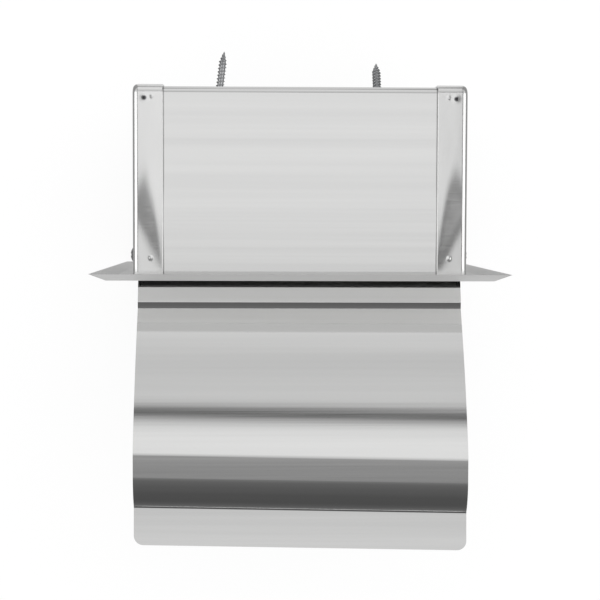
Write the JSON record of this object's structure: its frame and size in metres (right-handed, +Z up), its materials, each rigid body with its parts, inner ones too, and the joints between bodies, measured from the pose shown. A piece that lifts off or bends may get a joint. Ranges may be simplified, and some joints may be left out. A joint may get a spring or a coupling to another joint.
{
  "type": "recessed toilet paper holder",
  "caption": "Recessed toilet paper holder: folded sheet box, square bevelled trim, sprung roller and a curved hood that swings up and down over the opening.",
  "frame": {"origin": "middle of the wall opening, on the face of the wall", "axes": "+X right, +Y into the wall, +Z up"},
  "size_m": [0.1574, 0.191, 0.1631],
  "materials": {
    "polished_stainless": "bright polished stainless sheet",
    "satin_stainless": "satin stainless sheet",
    "mill_stainless": "pressed stainless sheet as it comes from the press",
    "zinc_steel": "bright zinc plate",
    "nylon": "natural nylon",
    "chromed_roller": "bright chrome plate",
    "spring_wire": "drawn spring wire"
  },
  "bodies": {
    "recess_box": {"wrap_sheet": "polished_stainless", "left_side_plate": "mill_stainless", "right_side_plate": "mill_stainless", "trim_flange": "satin_stainless", "left_pivot_screw": "zinc_steel", "right_pivot_screw": "zinc_steel", "left_friction_washer": "nylon", "right_friction_washer": "nylon", "left_lock_nut": "zinc_steel", "right_lock_nut": "zinc_steel", "left_wood_screw": "zinc_steel", "right_wood_screw": "zinc_steel"},
    "hood": {"hood": "polished_stainless"},
    "roller": {"roller_sleeve": "chromed_roller", "roller_spring": "spring_wire"},
    "plunger": {"roller_plunger": "chromed_roller"}
  },
  "joints": [
    {"name": "hood_hinge", "type": "hinge", "parent": "recess_box", "child": "hood", "pos_m": [0, 0.0065, 0.0475], "axis": [1, 0, 0], "range_deg": [-16, 100]},
    {"name": "roller_spin", "type": "hinge", "parent": "recess_box", "child": "roller", "pos_m": [0, 0.014, -0.002], "axis": [1, 0, 0], "continuous": true},
    {"name": "plunger_slide", "type": "slide", "parent": "roller", "child": "plunger", "axis": [1, 0, 0], "range_m": [-0.008, 0], "stiffness_N_per_m": 350, "springref_m": 0.012, "deforming": ["roller_spring"]}
  ]
}
